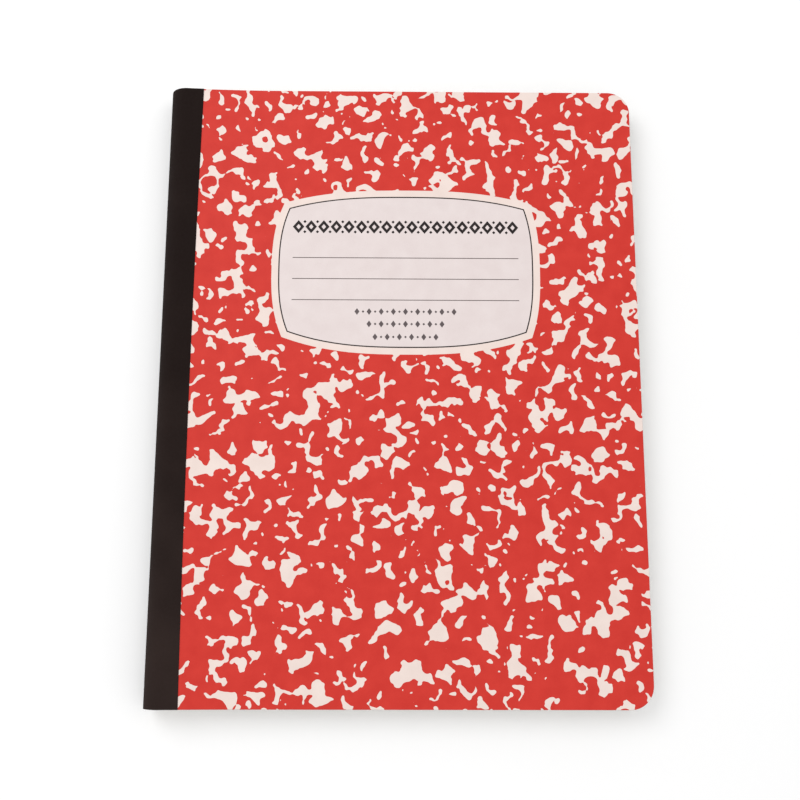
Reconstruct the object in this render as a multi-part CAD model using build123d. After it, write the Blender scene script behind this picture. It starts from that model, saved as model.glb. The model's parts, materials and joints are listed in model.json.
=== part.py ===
from build123d import *
import math
import os

# Composition notebook: one signature of folded sheets sewn through its fold, two card
# covers, lining papers, and a strip of book cloth glued round the spine.
# Millimetres. +X runs from the spine to the fore-edge, +Y from tail to head, +Z up
# through the front cover. The origin is the middle of the book on the table.

# The trimmed book
COVER_WIDTH = 190.5
COVER_HEIGHT = 247.65
CORNER_RADIUS = 9.0

# Pages: every leaf counts once, and a folded sheet is two leaves
LEAF_COUNT = 100
LEAF_THICKNESS = 0.09

# Layers of a cover, from the outside in
CLOTH_THICKNESS = 0.25
BOARD_THICKNESS = 0.9
LINING_THICKNESS = 0.12
PAGE_CLEARANCE = 0.05

# The folds make the book thicker beside the spine, on its upper side
SPINE_SWELL = 1.6
SWELL_REACH = 48.0

# Cloth strip and joints
CLOTH_OVERLAP = 14.0
CLOTH_SPLIT = 0.05
BOARD_SETBACK = 1.6
SHOULDER_CLEARANCE = 0.1
HINGE_CLEARANCE = 0.05

# Sewing through the fold
THREAD_RADIUS = 0.3
THREAD_CLEARANCE = 0.05
THREAD_SINK = 0.02
STITCH_LENGTH = 10.0
STITCH_BEND = 1.0
SEWING_MARGIN = 8.0

# Levels and places that follow from the sizes above
HALF_WIDTH = COVER_WIDTH / 2
HALF_HEIGHT = COVER_HEIGHT / 2
COVER_DEPTH = CLOTH_THICKNESS + BOARD_THICKNESS + LINING_THICKNESS
PAGE_DEPTH = COVER_DEPTH + PAGE_CLEARANCE
FLAT_TOP = LEAF_COUNT * LEAF_THICKNESS + 2 * PAGE_DEPTH
SPINE_RADIUS = (FLAT_TOP + SPINE_SWELL) / 2
SPINE_CENTRE_X = -HALF_WIDTH + SPINE_RADIUS
SWELL_START_X = -HALF_WIDTH + SWELL_REACH

# The swollen stretch is an arc that leaves the flat top at SWELL_START_X and meets the
# half-round spine tangentially.
SWELL_RUN = SWELL_START_X - SPINE_CENTRE_X
SWELL_RADIUS = (
    SWELL_RUN**2 + (FLAT_TOP - SPINE_RADIUS) ** 2 - SPINE_RADIUS**2
) / (2 * SPINE_SWELL)
SWELL_CENTRE_Z = FLAT_TOP + SWELL_RADIUS
TANGENT_SHARE = SPINE_RADIUS / (SPINE_RADIUS + SWELL_RADIUS)

HINGE_X = SPINE_CENTRE_X + TANGENT_SHARE * SWELL_RUN
FRONT_HINGE_Z = 2 * SPINE_RADIUS + HINGE_CLEARANCE
BACK_HINGE_Z = -HINGE_CLEARANCE
BOARD_START_X = HINGE_X + BOARD_SETBACK
CLOTH_END_X = -HALF_WIDTH + CLOTH_OVERLAP


def front_level(x, depth):
    """Height of the surface that lies depth below the front cover's outer face."""
    if x >= SWELL_START_X:
        return FLAT_TOP - depth
    radius = SWELL_RADIUS + depth
    return SWELL_CENTRE_Z - math.sqrt(radius**2 - (x - SWELL_START_X) ** 2)


def front_curve(x_start, depth):
    """The swollen stretch from x_start to where the flat top begins, at one depth."""
    x_middle = (x_start + SWELL_START_X) / 2
    return ThreePointArc(
        (x_start, front_level(x_start, depth)),
        (x_middle, front_level(x_middle, depth)),
        (SWELL_START_X, FLAT_TOP - depth),
    )


def extruded(outline_edges, length=COVER_HEIGHT):
    """A section drawn in X and Z, extruded along Y either side of the middle."""
    face = make_face(Plane.XZ * Curve(outline_edges))
    return extrude(face, amount=length / 2, both=True)


def trimmed(solid):
    """Cut to the book's outline, with the two fore-edge corners rounded."""
    outline = Rectangle(COVER_WIDTH, COVER_HEIGHT)
    fore_edge_corners = outline.vertices().sort_by(Axis.X)[-2:]
    outline = fillet(fore_edge_corners, CORNER_RADIUS)
    return solid & extrude(outline, amount=4 * SPINE_RADIUS, both=True)


def front_layer(depth_outer, depth_inner):
    """A layer of the front cover, from the board's spine edge to the fore-edge."""
    lower_curve = front_curve(BOARD_START_X, depth_inner)
    upper_curve = front_curve(BOARD_START_X, depth_outer)
    fore_edge = [
        (SWELL_START_X, FLAT_TOP - depth_outer),
        (HALF_WIDTH, FLAT_TOP - depth_outer),
        (HALF_WIDTH, FLAT_TOP - depth_inner),
        (SWELL_START_X, FLAT_TOP - depth_inner),
    ]
    spine_edge = Line(lower_curve @ 0, upper_curve @ 0)
    return trimmed(extruded([upper_curve, Polyline(*fore_edge), lower_curve, spine_edge]))


def back_layer(depth_outer, depth_inner):
    """A layer of the back cover, which lies flat."""
    slab = Box(
        HALF_WIDTH - BOARD_START_X,
        COVER_HEIGHT,
        depth_inner - depth_outer,
        align=(Align.MIN, Align.CENTER, Align.MIN),
    )
    return trimmed(Pos(BOARD_START_X, 0, depth_outer) * slab)


def cover_board(layer):
    return layer(CLOTH_THICKNESS, CLOTH_THICKNESS + BOARD_THICKNESS)


def lining_paper(layer):
    return layer(CLOTH_THICKNESS + BOARD_THICKNESS, COVER_DEPTH)


def spine_cloth():
    """The stretch of the cloth strip round the spine, up to both hinge lines."""
    inner_radius = SPINE_RADIUS - CLOTH_THICKNESS
    centre = Vector(SPINE_CENTRE_X, SPINE_RADIUS)
    swell_centre = Vector(SWELL_START_X, SWELL_CENTRE_Z)
    towards_hinge = (centre - swell_centre).normalized() * -1
    outer_top = centre + towards_hinge * SPINE_RADIUS
    inner_top = centre + towards_hinge * inner_radius
    outer = ThreePointArc(outer_top, (-HALF_WIDTH, SPINE_RADIUS), (SPINE_CENTRE_X, 0))
    inner = ThreePointArc(
        (SPINE_CENTRE_X, CLOTH_THICKNESS),
        (-HALF_WIDTH + CLOTH_THICKNESS, SPINE_RADIUS),
        inner_top,
    )
    lower_end = Polyline(
        (SPINE_CENTRE_X, 0),
        (HINGE_X, 0),
        (HINGE_X, CLOTH_THICKNESS),
        (SPINE_CENTRE_X, CLOTH_THICKNESS),
    )
    return extruded([outer, lower_end, inner, Line(inner_top, outer_top)])


def front_cloth():
    """The stretch of the cloth strip that is glued to the front board."""
    x_start = HINGE_X + CLOTH_SPLIT
    x_middle = (x_start + CLOTH_END_X) / 2
    curves = []
    for depth in (0, CLOTH_THICKNESS):
        corners = [(x, front_level(x, depth)) for x in (x_start, x_middle, CLOTH_END_X)]
        curves.append(ThreePointArc(*corners))
    upper, lower = curves
    return extruded([upper, Line(upper @ 1, lower @ 1), lower, Line(lower @ 0, upper @ 0)])


def back_cloth():
    """The stretch of the cloth strip that is glued to the back board."""
    x_start = HINGE_X + CLOTH_SPLIT
    strip = Box(
        CLOTH_END_X - x_start,
        COVER_HEIGHT,
        CLOTH_THICKNESS,
        align=(Align.MIN, Align.CENTER, Align.MIN),
    )
    return Pos(x_start, 0, 0) * strip


def shoulder(start, end):
    """An S of two equal arcs that leaves start along X and arrives level at end."""
    middle = ((start[0] + end[0]) / 2, (start[1] + end[1]) / 2)
    leaving = TangentArc(start, middle, tangent=(end[0] - start[0], 0))
    arriving = TangentArc(middle, end, tangent=leaving % 1)
    return [leaving, arriving]


def page_section():
    """The signature seen from the tail: a flat stack with a half-round folded end."""
    shoulder_x = BOARD_START_X - SHOULDER_CLEARANCE
    fold_top = (SPINE_CENTRE_X, 2 * SPINE_RADIUS - CLOTH_THICKNESS)
    fold_bottom = (SPINE_CENTRE_X, CLOTH_THICKNESS)
    fold = ThreePointArc(
        fold_bottom, (-HALF_WIDTH + CLOTH_THICKNESS, SPINE_RADIUS), fold_top
    )
    upper_curve = front_curve(shoulder_x, PAGE_DEPTH)
    stack = Polyline(
        (SWELL_START_X, FLAT_TOP - PAGE_DEPTH),
        (HALF_WIDTH, FLAT_TOP - PAGE_DEPTH),
        (HALF_WIDTH, PAGE_DEPTH),
        (shoulder_x, PAGE_DEPTH),
    )
    upper_shoulder = shoulder(fold_top, (shoulder_x, front_level(shoulder_x, PAGE_DEPTH)))
    lower_shoulder = shoulder(fold_bottom, (shoulder_x, PAGE_DEPTH))
    return [fold, *upper_shoulder, upper_curve, stack, *lower_shoulder]


def stitch_path():
    """Running stitch through the fold: outside, through, along the centre, and back."""
    outer_x = -HALF_WIDTH + CLOTH_THICKNESS + THREAD_RADIUS + THREAD_SINK
    fold_depth = LEAF_COUNT / 2 * LEAF_THICKNESS
    inner_x = -HALF_WIDTH + CLOTH_THICKNESS + fold_depth + THREAD_RADIUS
    sewn_length = COVER_HEIGHT - 2 * SEWING_MARGIN
    stitch_count = 2 * int(sewn_length / STITCH_LENGTH / 2) + 1
    y_start = -stitch_count * STITCH_LENGTH / 2
    points = [(outer_x, y_start)]
    for stitch in range(1, stitch_count):
        y = y_start + stitch * STITCH_LENGTH
        sides = (outer_x, inner_x) if stitch % 2 else (inner_x, outer_x)
        points += [(side, y) for side in sides]
    points.append((outer_x, -y_start))
    bend = min(STITCH_BEND, 0.45 * (inner_x - outer_x), 0.45 * STITCH_LENGTH)
    return Pos(0, 0, SPINE_RADIUS) * FilletPolyline(*points, radius=bend)


def along_stitches(radius):
    path = stitch_path()
    section = Plane(origin=path @ 0, z_dir=path % 0) * Circle(radius)
    return sweep(section, path=path)


def page_block():
    """All the pages as one solid, with the tunnel that the thread runs in."""
    block = trimmed(extruded(page_section()))
    return block - along_stitches(THREAD_RADIUS + THREAD_CLEARANCE)


NODES = {
    "front_cover_board": cover_board(front_layer),
    "back_cover_board": cover_board(back_layer),
    "front_lining_paper": lining_paper(front_layer),
    "back_lining_paper": lining_paper(back_layer),
    "spine_cloth": spine_cloth(),
    "front_cover_cloth": front_cloth(),
    "back_cover_cloth": back_cloth(),
    "page_block": page_block(),
    "sewing_thread": along_stitches(THREAD_RADIUS),
}

os.makedirs("parts", exist_ok=True)
for name, shape in NODES.items():
    export_step(shape, f"parts/{name}.step")
    print(f"{name}: volume {shape.volume:.1f} mm3")

print(f"hinge x {HINGE_X:.4f}, front z {FRONT_HINGE_Z:.4f}, back z {BACK_HINGE_Z:.4f}")
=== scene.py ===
import json
import math

import bpy
import numpy as np
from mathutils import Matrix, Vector
from mathutils.geometry import delaunay_2d_cdt

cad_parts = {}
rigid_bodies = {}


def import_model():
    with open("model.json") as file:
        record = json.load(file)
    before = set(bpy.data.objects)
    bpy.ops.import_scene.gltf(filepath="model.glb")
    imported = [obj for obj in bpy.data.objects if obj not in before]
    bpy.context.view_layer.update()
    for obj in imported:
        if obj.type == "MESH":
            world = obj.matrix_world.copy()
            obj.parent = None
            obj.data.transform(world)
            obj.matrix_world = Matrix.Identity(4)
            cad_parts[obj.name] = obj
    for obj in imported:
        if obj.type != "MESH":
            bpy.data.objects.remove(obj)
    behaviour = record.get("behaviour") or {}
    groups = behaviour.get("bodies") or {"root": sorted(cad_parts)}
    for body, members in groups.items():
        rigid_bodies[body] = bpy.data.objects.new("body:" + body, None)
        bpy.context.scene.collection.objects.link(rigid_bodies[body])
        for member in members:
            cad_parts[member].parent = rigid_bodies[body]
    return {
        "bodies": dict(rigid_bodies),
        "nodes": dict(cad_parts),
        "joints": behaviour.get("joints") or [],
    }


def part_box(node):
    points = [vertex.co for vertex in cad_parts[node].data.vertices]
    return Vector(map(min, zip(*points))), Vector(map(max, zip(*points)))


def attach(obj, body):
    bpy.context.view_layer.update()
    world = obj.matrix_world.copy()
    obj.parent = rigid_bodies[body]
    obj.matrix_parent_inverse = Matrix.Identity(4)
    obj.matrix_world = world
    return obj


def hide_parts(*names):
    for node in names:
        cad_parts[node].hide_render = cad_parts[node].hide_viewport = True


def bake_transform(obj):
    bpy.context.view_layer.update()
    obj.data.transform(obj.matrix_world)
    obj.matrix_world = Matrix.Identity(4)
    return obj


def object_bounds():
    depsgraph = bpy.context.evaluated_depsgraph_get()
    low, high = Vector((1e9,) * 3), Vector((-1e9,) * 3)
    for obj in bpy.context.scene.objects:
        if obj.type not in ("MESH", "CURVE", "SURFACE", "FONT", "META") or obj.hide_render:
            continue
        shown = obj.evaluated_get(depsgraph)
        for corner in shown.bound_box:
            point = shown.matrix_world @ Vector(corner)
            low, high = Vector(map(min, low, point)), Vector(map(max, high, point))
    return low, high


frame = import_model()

# A composition notebook: marbled card covers, a black cloth spine and a block of ruled
# pages. The print on the covers is cut into the boards' faces as fields of colour.
# +X runs from the spine to the fore-edge, +Y from tail to head and +Z up. A "level" is a
# function of x and depth: the height of the surface that lies so deep inside the book.

MM = 0.001
CAD_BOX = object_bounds()


def thickness(node):
    low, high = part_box(node)
    return high.z - low.z


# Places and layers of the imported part
HALF_WIDTH = CAD_BOX[1].x
HALF_HEIGHT = CAD_BOX[1].y
CLOTH = thickness("back_cover_cloth")
BOARD = thickness("back_cover_board")
LINING = thickness("back_lining_paper")
PAGE_CLEARANCE = 0.05 * MM
PAGE_DEPTH = CLOTH + BOARD + LINING + PAGE_CLEARANCE
CORNER_RADIUS = 9 * MM
BOARD_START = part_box("front_cover_board")[0].x
CLOTH_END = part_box("front_cover_cloth")[1].x
HINGES = {joint["child"]: Vector(joint["pos_m"]) for joint in frame["joints"]}
HINGE_X = HINGES["front_cover"].x
SPINE_RADIUS = (HINGES["front_cover"].z + HINGES["back_cover"].z) / 2
SPINE_X = -HALF_WIDTH + SPINE_RADIUS

# The front cover rises towards the spine on an arc that starts SWELL_REACH from it
SWELL_REACH = 48 * MM
FLAT_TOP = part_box("front_cover_board")[0].z + BOARD + CLOTH
SWELL_START = -HALF_WIDTH + SWELL_REACH
SWELL = 2 * SPINE_RADIUS - FLAT_TOP
SWELL_RADIUS = (
    (SWELL_START - SPINE_X) ** 2 + (FLAT_TOP - SPINE_RADIUS) ** 2 - SPINE_RADIUS**2
) / (2 * SWELL)

# A cover turns on its hinge within this stretch of cloth, beside the board's edge
HINGE_MARGIN = 0.1 * MM
BEND_END = BOARD_START - HINGE_MARGIN

# How finely the curves are cut into flat faces
CORNER_STEPS = 14
SPINE_STEPS = 18
SHOULDER_STEPS = 16
SWELL_STEP = 3 * MM


def front_level(x, depth):
    """Height of the surface that lies depth under the front cover's outer face."""
    run = np.clip(SWELL_START - np.asarray(x, float), 0, None)
    return FLAT_TOP + SWELL_RADIUS - np.sqrt((SWELL_RADIUS + depth) ** 2 - run**2)


def back_level(x, depth):
    """Height of the surface that lies depth inside the back cover's outer face."""
    return np.zeros_like(np.asarray(x, float)) + depth


def swell_cuts():
    """Lines across the swollen stretch, so that flat triangles follow its curve."""
    count = int((SWELL_START - SPINE_X) / SWELL_STEP)
    return [SWELL_START - i * SWELL_STEP for i in range(count + 1)]


def shoulder_cuts():
    """Lines across the stretch where the pages slope from the fold to the covers."""
    return list(np.linspace(SPINE_X, BOARD_START, SHOULDER_STEPS + 1))


# ---------------------------------------------------------------- marbling

GRID_STEP = 0.4 * MM
GRID_MARGIN = 2 * MM

# Wavelengths of the noises that the pattern is made of
BROAD = 20 * MM
MIDDLE = 7.9 * MM
FINE = 2.55 * MM
RAGGED = 1.8 * MM
VEINS = (6.4 * MM, 5.5 * MM)
DRIFT = 9 * MM
DRIFT_DETAIL = 3 * MM

# Half the width of the widest veins, in millimetres
WIDEST_VEIN = 1.13

# Outlines are softened by one radius. Pinholes up to another radius are closed.
SOFT_RADIUS = 0.39 * MM
PINHOLE_RADIUS = 0.7 * MM
PINHOLE_RISE = 0.05

# No grid point's height is nearer to zero than LEAST_HEIGHT, and outlines pass no nearer
# to a grid point than this share of a step. That avoids sliver triangles.
LEAST_HEIGHT = 0.01
CROSSING_MARGIN = 0.06


def wave_numbers(shape):
    """Waves per metre of each term in the Fourier transform of a grid."""
    ky = np.fft.fftfreq(shape[0], GRID_STEP)[:, None]
    kx = np.fft.rfftfreq(shape[1], GRID_STEP)[None]
    return np.hypot(kx, ky)


def random_field(rng, shape, wavelength, spread=0.35):
    """Smooth noise of one wavelength, with unit variance, that repeats at its edges."""
    never_zero = 1e-3
    wave_number = np.maximum(wave_numbers(shape), never_zero)
    gain = np.exp(-0.5 * (np.log(wave_number * wavelength) / spread) ** 2)
    gain[0, 0] = 0
    spectrum = np.fft.rfft2(rng.standard_normal(shape))
    field = np.fft.irfft2(spectrum * gain, s=shape)
    return field / field.std()


def blurred(values, radius):
    """Values smoothed with a Gaussian of the given radius."""
    gain = np.exp(-0.5 * (2 * math.pi * wave_numbers(values.shape) * radius) ** 2)
    return np.fft.irfft2(np.fft.rfft2(values) * gain, s=values.shape)


def bilinear(values, column, row):
    """Values read between grid points, repeating at the edges."""
    rows, columns = values.shape
    c0, r0 = np.floor(column).astype(int), np.floor(row).astype(int)
    fc, fr = column - c0, row - r0
    c1, r1 = (c0 + 1) % columns, (r0 + 1) % rows
    c0, r0 = c0 % columns, r0 % rows
    lower = values[r0, c0] * (1 - fc) + values[r0, c1] * fc
    upper = values[r1, c0] * (1 - fc) + values[r1, c1] * fc
    return lower * (1 - fr) + upper * fr


def vein_distance(field):
    """Distance in millimetres from the nearest line where the field is zero.

    The smallest slope keeps it finite where the field is level.
    """
    smallest_slope = 0.12
    slope_y, slope_x = np.gradient(field, GRID_STEP / MM)
    return np.abs(field) / (np.hypot(slope_x, slope_y) + smallest_slope)


class Marbling:
    """A map of the cover that is above zero where the card shows white through the ink."""

    def __init__(self, seed):
        rng = np.random.default_rng(seed)
        right, top = HALF_WIDTH + GRID_MARGIN, HALF_HEIGHT + GRID_MARGIN
        self.xs = np.arange(-right, right, GRID_STEP)
        self.ys = np.arange(-top, top, GRID_STEP)
        shape = (len(self.ys), len(self.xs))
        broad = random_field(rng, shape, BROAD)
        middle = random_field(rng, shape, MIDDLE)
        fine = random_field(rng, shape, FINE, 0.25)
        ragged = random_field(rng, shape, RAGGED, 0.3)
        veins = [vein_distance(random_field(rng, shape, wave)) for wave in VEINS]
        drift = [
            random_field(rng, shape, DRIFT) + 0.3 * random_field(rng, shape, DRIFT_DETAIL)
            for _ in range(2)
        ]
        # White runs along veins, whose width comes and goes, and in blobs and dots
        width = np.minimum(-0.42 + 1.08 * middle + 0.64 * broad, WIDEST_VEIN)
        blobs = 1.6 * (0.6 * broad + 0.8 * middle + 0.25 * fine - 1.88)
        dots = 1.2 * (0.8 * fine + 0.3 * middle - 1.38)
        height = np.maximum(width - np.minimum(*veins), np.maximum(blobs, dots))
        height += 0.04 * ragged
        # The drift pulls the pattern about by a millimetre or so
        rows, columns = np.mgrid[0 : shape[0], 0 : shape[1]].astype(float)
        step = GRID_STEP / MM
        height = bilinear(height, columns + drift[0] / step, rows + drift[1] / step)
        height = blurred(height, SOFT_RADIUS)
        self.height = np.maximum(height, blurred(height, PINHOLE_RADIUS) - PINHOLE_RISE)

    def at(self, x, y):
        """Height of the map at places on the cover."""
        column, row = (x - self.xs[0]) / GRID_STEP, (y - self.ys[0]) / GRID_STEP
        return bilinear(self.height, column, row)

    def add_panel(self, panel, margin):
        """Joins the white border round a label to the marbling."""
        grid_x, grid_y = np.meshgrid(self.xs, self.ys)
        reach = panel.depth(grid_x, grid_y) / MM + margin / MM
        self.height = np.maximum(self.height, reach)

    def outlines(self):
        """Points and segments of every line where the map is zero."""
        h = self.height
        nudged = np.where(h < 0, -LEAST_HEIGHT, LEAST_HEIGHT)
        h = np.where(np.abs(h) < LEAST_HEIGHT, nudged, h)
        up = h > 0
        points, index, segments = [], {}, []

        def crossing(r, c, dr, dc):
            """The number of the point where the line crosses one side of a grid cell."""
            key = (r, c, dr)
            if key not in index:
                a, b = h[r, c], h[r + dr, c + dc]
                t = min(max(a / (a - b), CROSSING_MARGIN), 1 - CROSSING_MARGIN)
                index[key] = len(points)
                x, y = self.xs[c] + t * dc * GRID_STEP, self.ys[r] + t * dr * GRID_STEP
                points.append((x, y))
            return index[key]

        corners_up = up[:-1, :-1].astype(int) + up[:-1, 1:] + up[1:, :-1] + up[1:, 1:]
        for r, c in zip(*np.nonzero((corners_up > 0) & (corners_up < 4))):
            a, b, d, e = up[r, c], up[r, c + 1], up[r + 1, c + 1], up[r + 1, c]
            sides = []
            if a != b:
                sides.append(crossing(r, c, 0, 1))
            if b != d:
                sides.append(crossing(r, c + 1, 1, 0))
            if d != e:
                sides.append(crossing(r + 1, c, 0, 1))
            if e != a:
                sides.append(crossing(r, c, 1, 0))
            if len(sides) == 4 and (h[r : r + 2, c : c + 2].mean() > 0) == a:
                sides = sides[1:] + sides[:1]
            segments += [tuple(sides[i : i + 2]) for i in range(0, len(sides), 2)]
        return points, segments


# ---------------------------------------------------------------- label

SIDE_STEPS = 26
SIDE_POWER = 2.7


class Panel:
    """A rectangle whose four sides bulge outwards and meet at plain corners.

    A side turns more towards its ends than in its middle. The bulges are given
    anticlockwise from the right-hand side.
    """

    def __init__(self, centre, half_width, half_height, bulges):
        self.centre = np.array(centre)
        w, h = half_width, half_height
        corners = [Vector(c) for c in ((w, -h), (w, h), (-w, h), (-w, -h))]
        outline = []
        for number, bulge in enumerate(bulges):
            start, end = corners[number], corners[(number + 1) % 4]
            across = (end - start).normalized()
            outward = Vector((across.y, -across.x))
            for t in np.linspace(-1, 1, SIDE_STEPS + 1)[:-1]:
                rise = bulge * (1 - abs(t) ** SIDE_POWER)
                outline.append((start + end) / 2 + (end - start) * (t / 2) + outward * rise)
        self.outline = np.array(outline)
        edges = np.roll(self.outline, -1, 0) - self.outline
        edges /= np.linalg.norm(edges, axis=1, keepdims=True)
        self.normals = np.stack([edges[:, 1], -edges[:, 0]], 1)

    def placed(self, points):
        """Points that were measured from the panel's centre."""
        return [tuple(point) for point in np.array(points) + self.centre]

    def depth(self, x, y):
        """How far inside the outline a point lies."""
        nearest = np.full(x.shape, np.inf)
        for (px, py), (nx, ny) in zip(self.outline + self.centre, self.normals):
            nearest = np.minimum(nearest, (px - x) * nx + (py - y) * ny)
        return nearest

    def loop(self, margin):
        """The outline moved outwards by a margin, with its corners kept sharp."""
        before = np.roll(self.normals, 1, 0)
        both = before + self.normals
        share = 1 + (before * self.normals).sum(1, keepdims=True)
        return self.placed(self.outline + both * (margin / share))


LABEL = Panel(
    centre=(2.94 * MM, 46.3 * MM),
    half_width=47.47 * MM,
    half_height=25.77 * MM,
    bulges=(3.16 * MM, 5.01 * MM, 3.92 * MM, 6.36 * MM),
)
LABEL_BORDER = 2.95 * MM
LABEL_LINE = 0.5 * MM

# The print on the label, measured from its centre. All of it sits a little to the left.
PRINT_X = -0.5 * MM
RULE_YS = (4.9 * MM, -3.9 * MM, -12.7 * MM)
RULE_HALF_LONG = 45.5 * MM
RULE_HALF_THICK = 0.16 * MM
BAND_Y = 18.0 * MM
BAND_PITCH = 5.1 * MM
BAND_COUNT = 18
ROW_YS_AND_COUNTS = ((-17.5 * MM, 17), (-22.6 * MM, 13), (-27.9 * MM, 11))
ROW_PITCH = 2.42 * MM


def rectangle(left, low, right, high):
    return [(left, low), (right, low), (right, high), (left, high)]


def lozenge(x, y, half_width, half_height):
    return [(x + half_width, y), (x, y + half_height), (x - half_width, y), (x, y - half_height)]


def centred_row(count, pitch):
    """Places along X of a row of shapes."""
    return [PRINT_X + (i - (count - 1) / 2) * pitch for i in range(count)]


def writing_lines():
    left, right = PRINT_X - RULE_HALF_LONG, PRINT_X + RULE_HALF_LONG
    return [
        ("rule", rectangle(left, y - RULE_HALF_THICK, right, y + RULE_HALF_THICK))
        for y in RULE_YS
    ]


def lozenge_band():
    """A bold band of open lozenges, with two small beads in each gap."""
    outer, hole, bead = (2.35 * MM, 2.8 * MM), (0.9 * MM, 1.1 * MM), (0.68 * MM, 0.68 * MM)
    bead_rise = 2.15 * MM
    shapes = []
    for x in centred_row(BAND_COUNT, BAND_PITCH):
        shapes.append(("black", lozenge(x, BAND_Y, *outer)))
        shapes.append(("panel", lozenge(x, BAND_Y, *hole)))
    for x in centred_row(BAND_COUNT - 1, BAND_PITCH):
        for y in (BAND_Y - bead_rise, BAND_Y + bead_rise):
            shapes.append(("black", lozenge(x, y, *bead)))
    return shapes


def beaded_rows():
    """Three fine rows in which lozenges and small beads take turns."""
    large, small = (1.0 * MM, 1.4 * MM), (0.55 * MM, 0.55 * MM)
    shapes = []
    for y, count in ROW_YS_AND_COUNTS:
        for i, x in enumerate(centred_row(count, ROW_PITCH)):
            shapes.append(("grey", lozenge(x, y, *(small if i % 2 else large))))
    return shapes


def label_print():
    """The plain shapes that stand where the real label has its lines and lettering."""
    shapes = writing_lines() + lozenge_band() + beaded_rows()
    return [(ink, LABEL.placed(points)) for ink, points in shapes]


# ---------------------------------------------------------------- sheets of card and paper

# A sheet's cut edge, as steps of (inset, depth) in millimetres that start on its face.
# After the first step, a depth of zero or less is counted from the back.
ROUNDED_EDGE = ((0.14, 0.0), (0.05, 0.04), (0.0, 0.14), (0.0, -0.1), (0.06, 0.0))
SQUARE_EDGE = ((0.0, 0.0), (0.0, 0.0))

# Where the printed face, the cut edge and the back lie in a sheet's UV square
UV_LOW, UV_LONG = 0.01, 0.98
FACE_CORNER = (UV_LOW, UV_LOW)
FACE_SCALE = UV_LONG / (2 * HALF_HEIGHT)
EDGE_LEFT, EDGE_RIGHT = 0.80, 0.82
BACK_CORNER = (0.84, 0.02)
BACK_SCALE = 0.7


def outline_loop(x_start, inset):
    """The cover's outline, inset: square at the spine, rounded at the fore-edge."""
    right, top = HALF_WIDTH - inset, HALF_HEIGHT - inset
    radius = CORNER_RADIUS - inset
    cx, cy = right - radius, top - radius
    points = [(x_start + inset, -top)]
    for start, y in ((-90, -cy), (0, cy)):
        for i in range(CORNER_STEPS + 1):
            a = math.radians(start + 90 * i / CORNER_STEPS)
            points.append((cx + radius * math.cos(a), y + radius * math.sin(a)))
    points.append((x_start + inset, top))
    return points


def outward_moves(points, x_start, inset):
    """The direction in which each point of an outline moves when the inset shrinks."""
    x, y = points[:, 0], points[:, 1]
    rounding = 0.002 * MM
    near = inset + rounding
    move = np.zeros_like(points)
    move[:, 0] = (x > HALF_WIDTH - near) * 1.0 - (x < x_start + near)
    move[:, 1] = (y > HALF_HEIGHT - near) * 1.0 - (y < -HALF_HEIGHT + near)
    cx, cy = HALF_WIDTH - CORNER_RADIUS, HALF_HEIGHT - CORNER_RADIUS
    round_corner = (x > cx) & (np.abs(y) > cy)
    never_zero = 1e-9
    spoke = np.stack([x - cx, np.sign(y) * (np.abs(y) - cy)], 1)
    spoke /= np.maximum(np.linalg.norm(spoke, axis=1, keepdims=True), never_zero)
    move[round_corner] = spoke[round_corner]
    return move


def inside_convex(x, y, loop):
    """True where a point lies inside a convex loop that runs anticlockwise."""
    inside = np.ones(x.shape, bool)
    for (ax, ay), (bx, by) in zip(loop, loop[1:] + loop[:1]):
        inside &= (bx - ax) * (y - ay) - (by - ay) * (x - ax) > 0
    return inside


def triangulated(loops, points, segments, cuts, boundary):
    """Triangles inside the boundary that keep every given line as an edge."""
    points, segments = list(points), list(segments)
    for loop in [boundary, *loops]:
        first, count = len(points), len(loop)
        points += loop
        segments += [(first + i, first + (i + 1) % count) for i in range(count)]
    for x in cuts:
        first = len(points)
        points += [(x, -HALF_HEIGHT - MM), (x, HALF_HEIGHT + MM)]
        segments.append((first, first + 1))
    vectors = [Vector(point) for point in points]
    merge_distance = 1e-8
    found = delaunay_2d_cdt(vectors, segments, [], 0, merge_distance, False)
    flat = np.array([tuple(vector) for vector in found[0]])
    faces = np.array([face for face in found[2] if len(face) == 3])
    middle = flat[faces].mean(1)
    faces = faces[inside_convex(middle[:, 0], middle[:, 1], boundary)]
    used, faces = np.unique(faces, return_inverse=True)
    return flat[used], faces.reshape(-1, 3)


def boundary_of(faces):
    """The loop of edges that only one triangle has, and those triangles."""
    owner = {}
    for number, (a, b, c) in enumerate(faces.tolist()):
        for edge in ((a, b), (b, c), (c, a)):
            owner[edge] = number
    following = {a: (b, n) for (a, b), n in owner.items() if (b, a) not in owner}
    start = next(iter(following))
    loop, triangles, at = [], [], start
    while True:
        at, number = following[at]
        loop.append(at)
        triangles.append(number)
        if at == start:
            break
    return loop[-1:] + loop[:-1], triangles


def new_piece(name, vertices, faces, inks, palette, uvs=None, smooth=False):
    """A mesh object with one material for each named ink."""
    mesh = bpy.data.meshes.new(name)
    mesh.from_pydata([tuple(v) for v in vertices], [], [tuple(f) for f in faces])
    for ink in palette:
        mesh.materials.append(palette[ink])
    order = {ink: i for i, ink in enumerate(palette)}
    mesh.polygons.foreach_set("material_index", [order[ink] for ink in inks])
    mesh.polygons.foreach_set("use_smooth", [smooth] * len(faces))
    if uvs is not None:
        layer = mesh.uv_layers.new(name="OFBake")
        layer.data.foreach_set("uv", np.asarray(uvs, np.float32).ravel())
    mesh.validate()
    mesh.update()
    piece = bpy.data.objects.new(name, mesh)
    bpy.context.scene.collection.objects.link(piece)
    return piece


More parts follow.
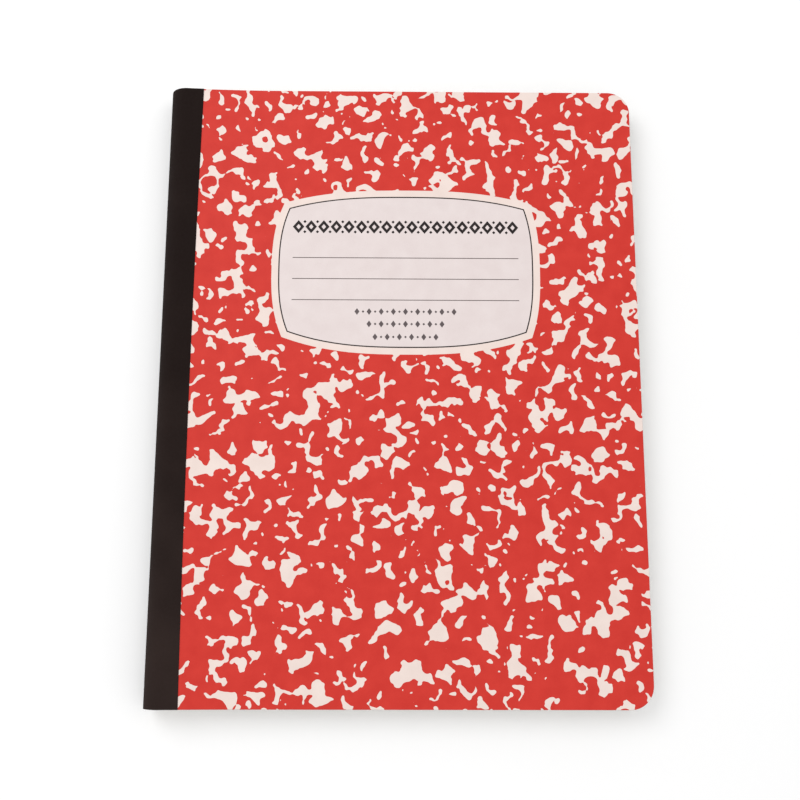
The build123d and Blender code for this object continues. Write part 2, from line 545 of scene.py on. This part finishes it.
def add_uv_map(piece, name, uvs):
    """A UV map with one place for each vertex, so that a pattern follows the piece round its
    curves.
    """
    layer = piece.data.uv_layers.new(name=name)
    corners = np.zeros(len(piece.data.loops), int)
    piece.data.loops.foreach_get("vertex_index", corners)
    layer.data.foreach_set("uv", np.array(uvs, np.float32)[corners].ravel())


def sheet_uv(corner, scale, point):
    """Where a point of a flat face lies in the sheet's UV square."""
    x, y = point
    return (corner[0] + (x + HALF_WIDTH) * scale, corner[1] + (y + HALF_HEIGHT) * scale)


class SheetMesh:
    """A sheet's vertices, faces, inks and UV corners while it is put together."""

    def __init__(self, level):
        self.level = level
        self.vertices = []
        self.faces = []
        self.inks = []
        self.uvs = []

    def add_points(self, flat, depth):
        """Adds points that lie at one depth and returns their numbers."""
        first = len(self.vertices)
        heights = self.level(flat[:, 0], depth)
        self.vertices += [(x, y, z) for (x, y), z in zip(flat, heights)]
        return list(range(first, len(self.vertices)))

    def add_face(self, corners, ink, uvs):
        self.faces.append(corners)
        self.inks.append(ink)
        self.uvs += uvs

    def add_front(self, flat, faces, depth, inks):
        """The printed face, whose triangles each have an ink."""
        self.add_points(flat, depth)
        for face, ink in zip(faces.tolist(), inks):
            uvs = [sheet_uv(FACE_CORNER, FACE_SCALE, flat[i]) for i in face]
            self.add_face(face, ink, uvs)

    def add_edge(self, rings, rim, band_inks):
        """Bands between the rings of the cut edge, with an ink for each face of each band."""
        steps = np.linalg.norm(np.diff(np.vstack([rim, rim[:1]]), axis=0), axis=1)
        along = np.concatenate([[0], np.cumsum(steps)]) / steps.sum()
        v = UV_LOW + UV_LONG * along
        u = np.linspace(EDGE_LEFT, EDGE_RIGHT, len(rings))
        count = len(rim)
        for band, (upper, lower) in enumerate(zip(rings, rings[1:])):
            for i in range(count):
                j = (i + 1) % count
                uvs = [(u[band], v[i]), (u[band + 1], v[i])]
                uvs += [(u[band + 1], v[i + 1]), (u[band], v[i + 1])]
                corners = [upper[i], lower[i], lower[j], upper[j]]
                self.add_face(corners, band_inks[band][i], uvs)

    def add_back(self, ring, ring_points, depth, cuts, ink):
        """The plain back, which shares its outline with the last ring of the edge."""

        def key(point):
            return tuple(round(value / MM, 3) for value in point)

        outline = {key(point): number for point, number in zip(ring_points, ring)}
        boundary = [tuple(point) for point in ring_points]
        flat, faces = triangulated([], [], [], cuts, boundary)
        numbers = []
        for point in flat:
            number = outline.get(key(point))
            if number is None:
                number = self.add_points(point[None], depth)[0]
            numbers.append(number)
        for a, b, c in faces.tolist():
            uvs = [sheet_uv(BACK_CORNER, BACK_SCALE, flat[i]) for i in (a, c, b)]
            self.add_face([numbers[a], numbers[c], numbers[b]], ink, uvs)

    def turn_over(self):
        """Reverses every face, for a sheet whose printed side looks down."""
        turned, at = [], 0
        for face in self.faces:
            turned += self.uvs[at : at + len(face)][::-1]
            at += len(face)
            face.reverse()
        self.uvs = turned


def card_sheet(name, x_start, level, depth, thick, ink_of, palette, plain, flipped, cuts,
               loops=(), lines=((), ()), rounded=True):
    """A printed sheet: its outer face split into inks, a cut edge all round, a plain back.

    The face's triangles keep every line of the print as an edge: cuts run straight across
    the sheet, loops are closed, and lines are points and the segments that join them.
    """
    profile = ROUNDED_EDGE if rounded else SQUARE_EDGE
    inset = profile[0][0] * MM
    flat, faces = triangulated(loops, *lines, cuts, outline_loop(x_start, inset))
    middle = flat[faces].mean(1)
    face_inks = list(ink_of(middle[:, 0], middle[:, 1]))
    sheet = SheetMesh(level)
    sheet.add_front(flat, faces, depth, face_inks)
    loop, triangles = boundary_of(faces)
    rim = flat[loop]
    move = outward_moves(rim, x_start, inset)
    rings = [loop]
    for ring_inset, ring_depth in profile[1:]:
        down = ring_depth * MM if ring_depth > 0 else thick + ring_depth * MM
        ring_points = rim + move * (inset - ring_inset * MM)
        rings.append(sheet.add_points(ring_points, depth + down))
    band_inks = [[plain] * len(rim) for _ in profile[1:]]
    if rounded:
        # The print wraps over the first step of a rounded edge
        band_inks[0] = [face_inks[number] for number in triangles]
    sheet.add_edge(rings, rim, band_inks)
    sheet.add_back(rings[-1], ring_points, depth + thick, cuts, plain)
    if flipped:
        sheet.turn_over()
    return new_piece(name, sheet.vertices, sheet.faces, sheet.inks, palette, sheet.uvs)


def cover_board(name, body, node, level, seed, label):
    """A marbled cover board; the front one carries the label's panel."""
    marbling = Marbling(seed)
    shapes = []
    loops = []
    if label:
        marbling.add_panel(LABEL, LABEL_BORDER)
        shapes = label_print()
        loops = [LABEL.loop(LABEL_LINE / 2), LABEL.loop(-LABEL_LINE / 2)]
        loops += [points for _, points in shapes]

    def ink_of(x, y):
        inks = np.where(marbling.at(x, y) > 0, "white", "red").astype(object)
        if label:
            depth = LABEL.depth(x, y)
            inks[np.abs(depth) <= LABEL_LINE / 2] = "black"
            inks[depth > LABEL_LINE / 2] = "panel"
            for ink, points in shapes:
                inks[inside_convex(x, y, points)] = ink
        return inks

    flipped = level is back_level
    board = card_sheet(
        name, BOARD_START, level, CLOTH, BOARD, ink_of, COVER_INKS, "edge", flipped,
        [] if flipped else swell_cuts(), loops, marbling.outlines(),
    )
    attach(board, body)
    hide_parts(node)


# ---------------------------------------------------------------- materials


def srgb(red, green, blue):
    """A colour given as 0 to 255 screen values, as linear light."""
    values = []
    for value in (red, green, blue):
        v = value / 255
        values.append(v / 12.92 if v <= 0.04045 else ((v + 0.055) / 1.055) ** 2.4)
    return (*values, 1.0)


class Shader:
    """A small helper that adds nodes to one Principled material."""

    def __init__(self, name, roughness, specular):
        self.material = bpy.data.materials.new(name)
        self.material.use_nodes = True
        self.nodes = self.material.node_tree.nodes
        self.links = self.material.node_tree.links
        self.shader = self.nodes["Principled BSDF"]
        self.shader.inputs["Roughness"].default_value = roughness
        self.shader.inputs["Specular IOR Level"].default_value = specular

    def add(self, kind, inputs=(), **settings):
        node = self.nodes.new(kind)
        for key, value in settings.items():
            setattr(node, key, value)
        for key, value in dict(inputs).items():
            self.feed(node.inputs[key], value)
        return node

    def feed(self, socket, value):
        if isinstance(value, bpy.types.NodeSocket):
            self.links.new(value, socket)
        else:
            socket.default_value = value

    def noise(self, scale, detail, vector=None):
        inputs = {"Scale": scale, "Detail": detail}
        inputs["Vector"] = vector or self.object_position()
        return self.add("ShaderNodeTexNoise", inputs).outputs["Fac"]

    def object_position(self):
        return self.add("ShaderNodeTexCoord").outputs["Object"]

    def uv(self, name):
        return self.add("ShaderNodeUVMap", uv_map=name).outputs["UV"]

    def remap(self, value, low, high, to_low, to_high):
        inputs = {
            "Value": value, "From Min": low, "From Max": high,
            "To Min": to_low, "To Max": to_high,
        }
        return self.add("ShaderNodeMapRange", inputs).outputs["Result"]

    def math(self, operation, a, b=0.0):
        node = self.add("ShaderNodeMath", operation=operation)
        self.feed(node.inputs[0], a)
        self.feed(node.inputs[1], b)
        return node.outputs[0]

    def weighted(self, first, first_share, second, second_share):
        """The sum of two values, each times its share."""
        a = self.math("MULTIPLY", first, first_share)
        b = self.math("MULTIPLY", second, second_share)
        return self.math("ADD", a, b)

    def colour(self, factor, first, second):
        node = self.add("ShaderNodeMix", data_type="RGBA")
        self.feed(node.inputs["Factor"], factor)
        self.feed(node.inputs["A"], first)
        self.feed(node.inputs["B"], second)
        self.links.new(node.outputs["Result"], self.shader.inputs["Base Color"])

    def rough(self, value):
        self.links.new(value, self.shader.inputs["Roughness"])

    def bump(self, height, strength, distance):
        inputs = {"Height": height, "Strength": strength, "Distance": distance}
        node = self.add("ShaderNodeBump", inputs)
        self.links.new(node.outputs["Normal"], self.shader.inputs["Normal"])


# A noise's values lie mostly within these limits. The narrow ones give more contrast.
NARROW = (0.35, 0.65)
WIDE = (0.3, 0.7)


def printed_card(name, colour, deeper):
    """Ink or bare stock on coated card: faint mottle, handling marks and a fine tooth."""
    m = Shader(name, 0.42, 0.2)
    tone = m.weighted(m.noise(160, 3), 0.7, m.noise(2600, 2), 0.3)
    m.colour(m.remap(tone, *NARROW, 0, 1), colour, deeper)
    m.rough(m.remap(m.noise(90, 4), *WIDE, 0.36, 0.50))
    fibres = m.math("ADD", m.noise(1500, 3), m.math("MULTIPLY", m.noise(260, 2), 0.8))
    m.bump(fibres, 0.12, 0.04 * MM)
    return m.material


def raw_board():
    """The cut edge and back of the board: grey-brown fibres in thin layers."""
    m = Shader("raw_board", 0.9, 0.2)
    position = m.object_position()
    layered = m.add("ShaderNodeMapping", {"Vector": position, "Scale": (1, 1, 14)})
    layers = m.noise(700, 3, layered.outputs["Vector"])
    blotches = m.noise(220, 2)
    tone = m.weighted(layers, 0.5, blotches, 0.5)
    m.colour(m.remap(tone, *NARROW, 0, 1), srgb(116, 98, 88), srgb(158, 140, 126))
    m.bump(layers, 0.5, 0.08 * MM)
    return m.material


def writing_paper(name, colour, deeper, uv_map=None):
    """Uncoated paper: cloudy sheet formation, loose fibres and a soft tooth."""
    m = Shader(name, 0.85, 0.25)
    place = m.uv(uv_map) if uv_map else m.object_position()
    clouds, fibres = m.noise(70, 2, place), m.noise(1800, 2, place)
    tone = m.weighted(clouds, 0.3, fibres, 0.7)
    m.colour(m.remap(tone, *NARROW, 0, 1), colour, deeper)
    m.rough(m.remap(m.noise(400, 2, place), *WIDE, 0.78, 0.92))
    m.bump(m.noise(2200, 3, place), 0.15, 0.03 * MM)
    return m.material


def page_edges():
    """The cut edges of the leaves: every sheet a slightly different tone of paper."""
    m = Shader("page_edges", 0.9, 0.15)
    own_tone = m.add("ShaderNodeAttribute", attribute_name="sheet_tone").outputs["Fac"]
    dust = m.noise(140, 4)
    factor = m.weighted(own_tone, 0.75, dust, 0.35)
    m.colour(m.remap(factor, 0.15, 0.95, 0, 1), srgb(236, 232, 225), srgb(200, 193, 182))
    m.bump(m.noise(1600, 2), 0.3, 0.04 * MM)
    return m.material


WEAVE_PITCH = 0.42 * MM


def book_cloth():
    """Matte black-brown book cloth: a tight plain weave, rubbed a little towards the tail."""
    m = Shader("book_cloth", 0.88, 0.1)
    uv = m.uv("weave")
    split = m.add("ShaderNodeSeparateXYZ", {"Vector": uv})
    thread = 2 * math.pi / WEAVE_PITCH
    across = m.math("SINE", m.math("MULTIPLY", split.outputs["X"], thread))
    along = m.math("SINE", m.math("MULTIPLY", split.outputs["Y"], thread))
    weave = m.math("MULTIPLY", across, along)
    slub = m.noise(900, 3, uv)
    cloudy = m.noise(38, 4, uv)
    tailward = m.remap(split.outputs["Y"], 0.2 * HALF_HEIGHT, -HALF_HEIGHT, -0.18, 0.35)
    rubbed = m.math("ADD", m.math("MULTIPLY", cloudy, 0.8), tailward)
    tone = m.math("ADD", rubbed, m.math("MULTIPLY", weave, 0.10))
    m.colour(m.remap(tone, 0.2, 1.0, 0, 1), srgb(29, 20, 18), srgb(50, 39, 36))
    m.rough(m.remap(slub, *WIDE, 0.82, 0.95))
    m.bump(m.math("ADD", weave, m.math("MULTIPLY", slub, 1.2)), 0.5, 0.05 * MM)
    return m.material


def cotton_thread():
    """Undyed cotton, with painted shade in the grooves between the turns of the ply and painted
    light on their crests.
    """
    m = Shader("cotton_thread", 0.9, 0.2)
    twist = m.add("ShaderNodeTexWave", {"Scale": 900.0, "Distortion": 1.0},
                  bands_direction="DIAGONAL")
    m.links.new(m.object_position(), twist.inputs["Vector"])
    ply = twist.outputs["Fac"]
    # Painted shade and light: the colour follows the bump, darker off-white in the low grooves and
    # lighter on the crests
    m.colour(ply, srgb(214, 208, 196), srgb(240, 236, 226))
    m.bump(ply, 0.6, 0.05 * MM)
    return m.material


COVER_INKS = {
    "red": printed_card("red_ink", srgb(208, 55, 45), srgb(200, 48, 39)),
    "white": printed_card("bare_stock", srgb(236, 219, 211), srgb(230, 212, 204)),
    "panel": printed_card("label_stock", srgb(226, 214, 212), srgb(221, 208, 206)),
    "black": printed_card("black_ink", srgb(40, 32, 32), srgb(30, 24, 24)),
    "grey": printed_card("grey_ink", srgb(98, 88, 89), srgb(88, 79, 80)),
    "rule": printed_card("rule_ink", srgb(92, 80, 80), srgb(84, 72, 72)),
    "edge": raw_board(),
}
PAGE_INKS = {
    "paper": writing_paper("writing_paper", srgb(231, 229, 223), srgb(226, 223, 216)),
    "line": writing_paper("blue_line", srgb(138, 172, 198), srgb(126, 162, 190)),
    "margin": writing_paper("margin_line", srgb(212, 124, 130), srgb(204, 112, 120)),
}
LINING_PAPER = writing_paper("lining", srgb(228, 224, 217), srgb(222, 218, 210), "sheet")
CLOTH_FINISH = book_cloth()


# ---------------------------------------------------------------- pages

# A sheet fills only part of its place, so that its edge can be told from the next one's
SHEETS = 50
SHEET_FILL = 0.9

# How far the sheets' edges usually lie inside the block's outline, in millimetres
SHEET_STRAY = 0.035

# Thickness of the two ruled leaves
LEAF = 0.08 * MM

PAGES_SEED = 41

# College ruling
LINE_PITCH = 7.1 * MM
LINE_HALF = 0.11 * MM
HEADER = 30 * MM
FOOTER = 12 * MM
MARGIN_X = -HALF_WIDTH + 32 * MM


def shoulder_rise(x):
    """The block's top between fold and stack, as two equal arcs: 1 at the fold, 0 at the stack."""
    share = np.clip((np.asarray(x, float) - SPINE_X) / (BEND_END - SPINE_X), 0, 1)
    return 1 - share**2 * (3 - 2 * share)


def page_top(x, depth=0.0):
    """Height of the surface that lies depth under the top of the pages."""
    fold = 2 * SPINE_RADIUS - CLOTH
    stack = front_level(x, PAGE_DEPTH)
    return stack + shoulder_rise(x) * (fold - stack) - depth


def page_bottom(x, depth=0.0):
    """Height of the surface that lies depth above the bottom of the pages."""
    return PAGE_DEPTH - shoulder_rise(x) * (PAGE_DEPTH - CLOTH) + depth


def page_stations(inset_x, inset_y):
    """Places along a leaf from the fore-edge to the fold, with its half height at each."""
    cx, cy = HALF_WIDTH - CORNER_RADIUS, HALF_HEIGHT - CORNER_RADIUS
    angles = np.radians(np.linspace(0, 90, CORNER_STEPS + 1))
    x = list(cx + (CORNER_RADIUS - inset_x) * np.cos(angles))
    half = list(cy + (CORNER_RADIUS - inset_y) * np.sin(angles))
    # The swell's lines stop where the shoulder's own begin
    inner = [cut for cut in swell_cuts() if cut > BOARD_START + MM]
    inner += shoulder_cuts()[::-1]
    return x + inner, half + [HALF_HEIGHT - inset_y] * len(inner)


def sheet_leaf(side, shares, inset_x, inset_y):
    """One leaf, from its fore-edge to the fold: side is 1 for the upper half of the block."""
    stations = []
    for x, half in zip(*page_stations(inset_x, inset_y)):
        top, bottom = float(page_top(x)), float(page_bottom(x))
        middle, rise = (top + bottom) / 2, (top - bottom) / 2
        places = [(x, middle + side * share * rise) for share in shares]
        stations.append((*places, half))
    return stations


def sheet_fold(shares, half):
    """The half round that joins a sheet's two leaves."""
    fold_radius = SPINE_RADIUS - CLOTH
    stations = []
    for a in np.radians(np.linspace(90, 270, SPINE_STEPS + 1))[1:-1]:
        places = [
            (SPINE_X + share * fold_radius * math.cos(a),
             SPINE_RADIUS + share * fold_radius * math.sin(a))
            for share in shares
        ]
        stations.append((*places, half))
    return stations


def folded_sheet(number, rng):
    """One sheet folded round the spine: two leaves and the fold that joins them."""
    shares = (1 - number / SHEETS, 1 - (number + SHEET_FILL) / SHEETS)
    inset_y, upper_inset, lower_inset = [abs(rng.normal(0, SHEET_STRAY)) * MM for _ in range(3)]
    upper = sheet_leaf(1, shares, upper_inset, inset_y)
    lower = sheet_leaf(-1, shares, lower_inset, inset_y)
    if number == 0:
        # The outermost leaves are the ruled pages, so only the fold is needed here
        upper, lower = upper[-1:], lower[-1:]
    return upper + sheet_fold(shares, HALF_HEIGHT - inset_y) + lower[::-1]


def ribbon(stations, first):
    """Vertices and faces of a flat band of real thickness that follows a path."""
    vertices, faces = [], []
    for outer, inner, half in stations:
        vertices += [
            (outer[0], half, outer[1]), (outer[0], -half, outer[1]),
            (inner[0], -half, inner[1]), (inner[0], half, inner[1]),
        ]
    for i in range(len(stations) - 1):
        a, b = first + 4 * i, first + 4 * (i + 1)
        for j in range(4):
            k = (j + 1) % 4
            faces.append((a + j, a + k, b + k, b + j))
    last = first + 4 * (len(stations) - 1)
    faces.append((first + 3, first + 2, first + 1, first))
    faces.append((last, last + 1, last + 2, last + 3))
    return vertices, faces


def folded_pages():
    """All the sheets, nested one in the next, as one piece."""
    rng = np.random.default_rng(PAGES_SEED)
    vertices, faces, tones = [], [], []
    drift = 0.5
    for number in range(SHEETS):
        # A sheet's tone is partly its neighbours' and partly its own
        drift = 0.6 * drift + 0.4 * rng.random()
        tone = 0.6 * drift + 0.4 * rng.random()
        points, quads = ribbon(folded_sheet(number, rng), len(vertices))
        vertices += points
        faces += quads
        tones += [tone] * len(points)
    inks = ["edges"] * len(faces)
    piece = new_piece("page_block_sheets", vertices, faces, inks, {"edges": page_edges()})
    attribute = piece.data.attributes.new("sheet_tone", "FLOAT", "POINT")
    attribute.data.foreach_set("value", np.array(tones, np.float32))
    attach(piece, "text_block")
    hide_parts("page_block")


def ruled_page(name, level, flipped):
    """The outermost leaf on one side, college ruled with a margin line."""
    heights = []
    y = HALF_HEIGHT - HEADER
    while y > -HALF_HEIGHT + FOOTER:
        heights.append(y)
        y -= LINE_PITCH
    far, tall = HALF_WIDTH + MM, HALF_HEIGHT + MM
    lines = [rectangle(-far, y - LINE_HALF, far, y + LINE_HALF) for y in heights]
    margin = rectangle(MARGIN_X - LINE_HALF, -tall, MARGIN_X + LINE_HALF, tall)

    def ink_of(x, y):
        inks = np.full(x.shape, "paper", object)
        offset = np.abs(y[:, None] - np.array(heights)[None]).min(1)
        inks[offset < LINE_HALF] = "line"
        inks[np.abs(x - MARGIN_X) < LINE_HALF] = "margin"
        return inks

    cuts = shoulder_cuts() + ([] if flipped else swell_cuts())
    page = card_sheet(
        name, SPINE_X, level, 0.0, LEAF, ink_of, PAGE_INKS, "paper", flipped, cuts,
        loops=[*lines, margin], rounded=False,
    )
    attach(page, "text_block")


# ---------------------------------------------------------------- lining papers and cloth

# The lining stays a gap clear of the board's spine edge, turns the corner there within a
# short reach and ends just past the hinge line
LINING_GAP = 0.02 * MM
LINING_CORNER = 0.2 * MM
LINING_END = HINGE_X - 0.08 * MM
LINING_EDGE_POINTS = 5
LINING_END_POINTS = 8


def lining_stations(level):
    """The lining's path: under the board, round its spine edge, then along the cloth."""
    outer_depth, inner_depth = CLOTH + BOARD, CLOTH + BOARD + LINING
    stations = []
    for x, half in zip(*page_stations(0.0, 0.0)):
        if x > BOARD_START + LINING_CORNER:
            places = [(x, float(level(x, depth))) for depth in (outer_depth, inner_depth)]
            stations.append((*places, half))
    edge_x = BOARD_START - LINING_GAP
    for depth in np.linspace(inner_depth, CLOTH + LINING, LINING_EDGE_POINTS):
        z = float(level(edge_x, depth))
        stations.append(((edge_x, z), (edge_x - LINING, z), HALF_HEIGHT))
    for x in np.linspace(edge_x - LINING_CORNER, LINING_END, LINING_END_POINTS):
        places = [(x, float(level(x, depth))) for depth in (CLOTH, CLOTH + LINING)]
        stations.append((*places, HALF_HEIGHT))
    return stations


def lining(name, node, front):
    """The lining paper: glued to the board, over its spine edge and on to the cloth."""
    vertices, faces = ribbon(lining_stations(front_level if front else back_level), 0)
    if not front:
        faces = [face[::-1] for face in faces]
    piece = new_piece(name, vertices, faces, ["lining"] * len(faces), {"lining": LINING_PAPER})
    add_uv_map(piece, "sheet", [(x + z, y) for x, y, z in vertices])
    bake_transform(piece)
    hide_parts(node)


# The cloth's edge on a cover lies this much nearer the spine at mid-height than at its ends
CLOTH_BOW = 0.85 * MM

# How finely the cloth is divided: in rows from tail to head, at the hinge and on the board
CLOTH_ROWS = 221
CLOTH_STEP = 0.12 * MM
GLUED_STEPS = 8

# How far past the end of the round spine the flat part's first points lie
ROUND_GAP = 0.05 * MM

# The cloth's outer edge is pressed down a little. A sharper turn than SHARP_TURN shows
# as an edge.
PRESSED_EDGE = 0.08 * MM
SHARP_TURN = math.radians(40)

# The stitches show through as low bumps along the middle of the spine
STITCH = 10 * MM
STITCH_BUMP = 0.07 * MM
STITCH_REACH = 0.55 * MM


def cloth_path(front):
    """Outer points and outward directions from the middle of the spine to the cloth's edge."""
    round_end, last_angle = SPINE_X, 270
    if front:
        round_end = HINGE_X
        last_angle = 90 - math.degrees(math.asin((HINGE_X - SPINE_X) / SPINE_RADIUS))
    points = []
    for a in np.radians(np.linspace(180, last_angle, SPINE_STEPS + 1)):
        direction = (math.cos(a), math.sin(a))
        place = (SPINE_X + SPINE_RADIUS * direction[0], SPINE_RADIUS * (1 + direction[1]))
        points.append((place, direction))
    stations = list(np.arange(round_end + ROUND_GAP, BEND_END, CLOTH_STEP))
    stations += list(np.linspace(BEND_END, CLOTH_END, GLUED_STEPS + 1))
    for x in stations:
        if front:
            lean = (SWELL_START - x) / SWELL_RADIUS
            place = (x, float(front_level(x, 0.0)))
            points.append((place, (lean, math.sqrt(1 - lean**2))))
        else:
            points.append(((x, 0.0), (0.0, -1.0)))
    return points


def cloth_points(path, travelled, rows, inner):
    """Points of the cloth's outer or inner face, row by row from tail to head."""
    points = []
    for y in rows:
        bow = CLOTH_BOW * (1 - (y / HALF_HEIGHT) ** 2)
        on_stitch = math.sin(math.pi * (y + HALF_HEIGHT) / STITCH)
        swell = STITCH_BUMP * max(on_stitch, 0) ** 0.5
        for (place, direction), s in zip(path, travelled):
            shift = -CLOTH
            if not inner:
                pressed = PRESSED_EDGE if s == travelled[-1] else 0.0
                shift = swell * math.exp(-((s / STITCH_REACH) ** 2)) - pressed
            glued = np.clip((place[0] - BEND_END) / (CLOTH_END - BEND_END), 0, 1)
            x = place[0] + direction[0] * shift - glued * bow
            points.append((x, y, place[1] + direction[1] * shift))
    return points


def cloth_faces(rows, count, front):
    """Faces of the outer side, the inner side and the cut edge all round."""
    grid = rows * count
    faces = []
    for r in range(rows - 1):
        for c in range(count - 1):
            a = r * count + c
            b, d, e = a + 1, a + count + 1, a + count
            sides = ((a, b, d, e), (a, e, d, b))
            outer, inner = sides if front else sides[::-1]
            faces += [outer, tuple(number + grid for number in inner)]
    rim = list(range(count))
    rim += [r * count + count - 1 for r in range(1, rows)]
    rim += [(rows - 1) * count + c for c in range(count - 2, -1, -1)]
    rim += [r * count for r in range(rows - 2, 0, -1)]
    for a, b in zip(rim, rim[1:] + rim[:1]):
        quad = (a, a + grid, b + grid, b)
        faces.append(quad if front else quad[::-1])
    return faces


def cloth_half(name, node, front):
    """Half of the cloth strip, from the middle of the spine over one hinge to its board."""
    path = cloth_path(front)
    places = np.array([place for place, _ in path])
    lengths = np.linalg.norm(np.diff(places, axis=0), axis=1)
    travelled = np.concatenate([[0], np.cumsum(lengths)])
    rows = np.linspace(-HALF_HEIGHT, HALF_HEIGHT, CLOTH_ROWS)
    vertices = cloth_points(path, travelled, rows, inner=False)
    vertices += cloth_points(path, travelled, rows, inner=True)
    faces = cloth_faces(len(rows), len(path), front)
    piece = new_piece(name, vertices, faces, ["cloth"] * len(faces), {"cloth": CLOTH_FINISH},
                      smooth=True)
    add_uv_map(piece, "weave", 2 * [(s, y) for y in rows for s in travelled])
    piece.data.set_sharp_from_angle(angle=SHARP_TURN)
    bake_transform(piece)
    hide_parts("spine_cloth", node)


def sewing_thread():
    """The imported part's own thread, with a better material."""
    thread = frame["nodes"]["sewing_thread"]
    thread.data.materials.clear()
    thread.data.materials.append(cotton_thread())


# ---------------------------------------------------------------- build

FRONT_SEED = 12
BACK_SEED = 27

cover_board("front_board", "front_cover", "front_cover_board", front_level, FRONT_SEED, label=True)
cover_board("back_board", "back_cover", "back_cover_board", back_level, BACK_SEED, label=False)
folded_pages()
ruled_page("first_page", page_top, flipped=False)
ruled_page("last_page", page_bottom, flipped=True)
lining("front_lining", "front_lining_paper", front=True)
lining("back_lining", "back_lining_paper", front=False)
cloth_half("spine_cloth_front", "front_cover_cloth", front=True)
cloth_half("spine_cloth_back", "back_cover_cloth", front=False)
sewing_thread()


# ---------------------------------------------------------------- stage, light, camera

FLOOR_REACH = 12.0
FLOOR_Z = -0.02 * MM
FLOOR_CLEARANCE = 0.35 * MM

KEY_LIGHT_PLACE = (-0.55, 0.45, 0.9)
SKY_STRENGTH = 0.9

CAMERA_PLACE = Vector((-3.0, -81.7, 397.88)) * MM
CAMERA_TARGET = Vector((0.33, -7.1, 11.6)) * MM
CAMERA_ROLL = math.radians(2.749)
CAMERA_LENS = 45.199


def floor_finish():
    """Smooth white paper, with the faintest of clouds."""
    m = Shader("floor", 0.9, 0.1)
    clouds = m.remap(m.noise(3, 2), *WIDE, 0, 1)
    m.colour(clouds, (0.94, 0.94, 0.94, 1), (0.96, 0.96, 0.96, 1))
    m.bump(m.noise(60, 2), 0.02, 0.1 * MM)
    return m.material


def white_floor():
    """A white floor. The back cover opens flat just below it, so it gives way for that."""
    outline = rectangle(-FLOOR_REACH, -FLOOR_REACH, FLOOR_REACH, FLOOR_REACH)
    corners = [(x, y, FLOOR_Z) for x, y in outline]
    floor = new_piece("floor", corners, [(0, 1, 2, 3)], ["floor"], {"floor": floor_finish()})
    drop = 2 * abs(HINGES["back_cover"].z) + PAGE_DEPTH + FLOOR_CLEARANCE
    give = floor.constraints.new("TRANSFORM")
    give.target = frame["bodies"]["back_cover"]
    give.map_from = give.map_to = "LOCATION"
    give.from_min_x, give.from_max_x = 2 * HINGE_X, 0.0
    give.map_to_z_from = "X"
    give.to_min_z, give.to_max_z = -drop, 0.0


def area_light(name, place, target, size, watts):
    lamp = bpy.data.lights.new(name, "AREA")
    lamp.shape, lamp.size, lamp.energy = "DISK", size, watts
    piece = bpy.data.objects.new(name, lamp)
    piece.location = place
    piece.rotation_euler = (Vector(target) - Vector(place)).to_track_quat("-Z", "Y").to_euler()
    bpy.context.scene.collection.objects.link(piece)


def studio():
    """An even white sky and one soft lamp, over the head end and the spine's side."""
    scene = bpy.context.scene
    scene.view_settings.view_transform = "Standard"
    scene.view_settings.look = "None"
    world = bpy.data.worlds.new("studio")
    world.use_nodes = True
    background = world.node_tree.nodes["Background"]
    background.inputs["Color"].default_value = (1.0, 1.0, 1.0, 1)
    background.inputs["Strength"].default_value = SKY_STRENGTH
    scene.world = world
    area_light("key", KEY_LIGHT_PLACE, (0, 0, 0), size=0.7, watts=3.6)


def camera():
    """Almost straight above, a little from the tail, as the book is photographed."""
    data = bpy.data.cameras.new("camera")
    data.sensor_width = 36.0
    data.lens = CAMERA_LENS
    data.clip_start, data.clip_end = 0.01, 20
    piece = bpy.data.objects.new("camera", data)
    piece.location = CAMERA_PLACE
    turn = (CAMERA_TARGET - CAMERA_PLACE).to_track_quat("-Z", "Y").to_euler()
    turn.rotate_axis("Z", CAMERA_ROLL)
    piece.rotation_euler = turn
    bpy.context.scene.collection.objects.link(piece)
    bpy.context.scene.camera = piece


white_floor()
studio()
camera()
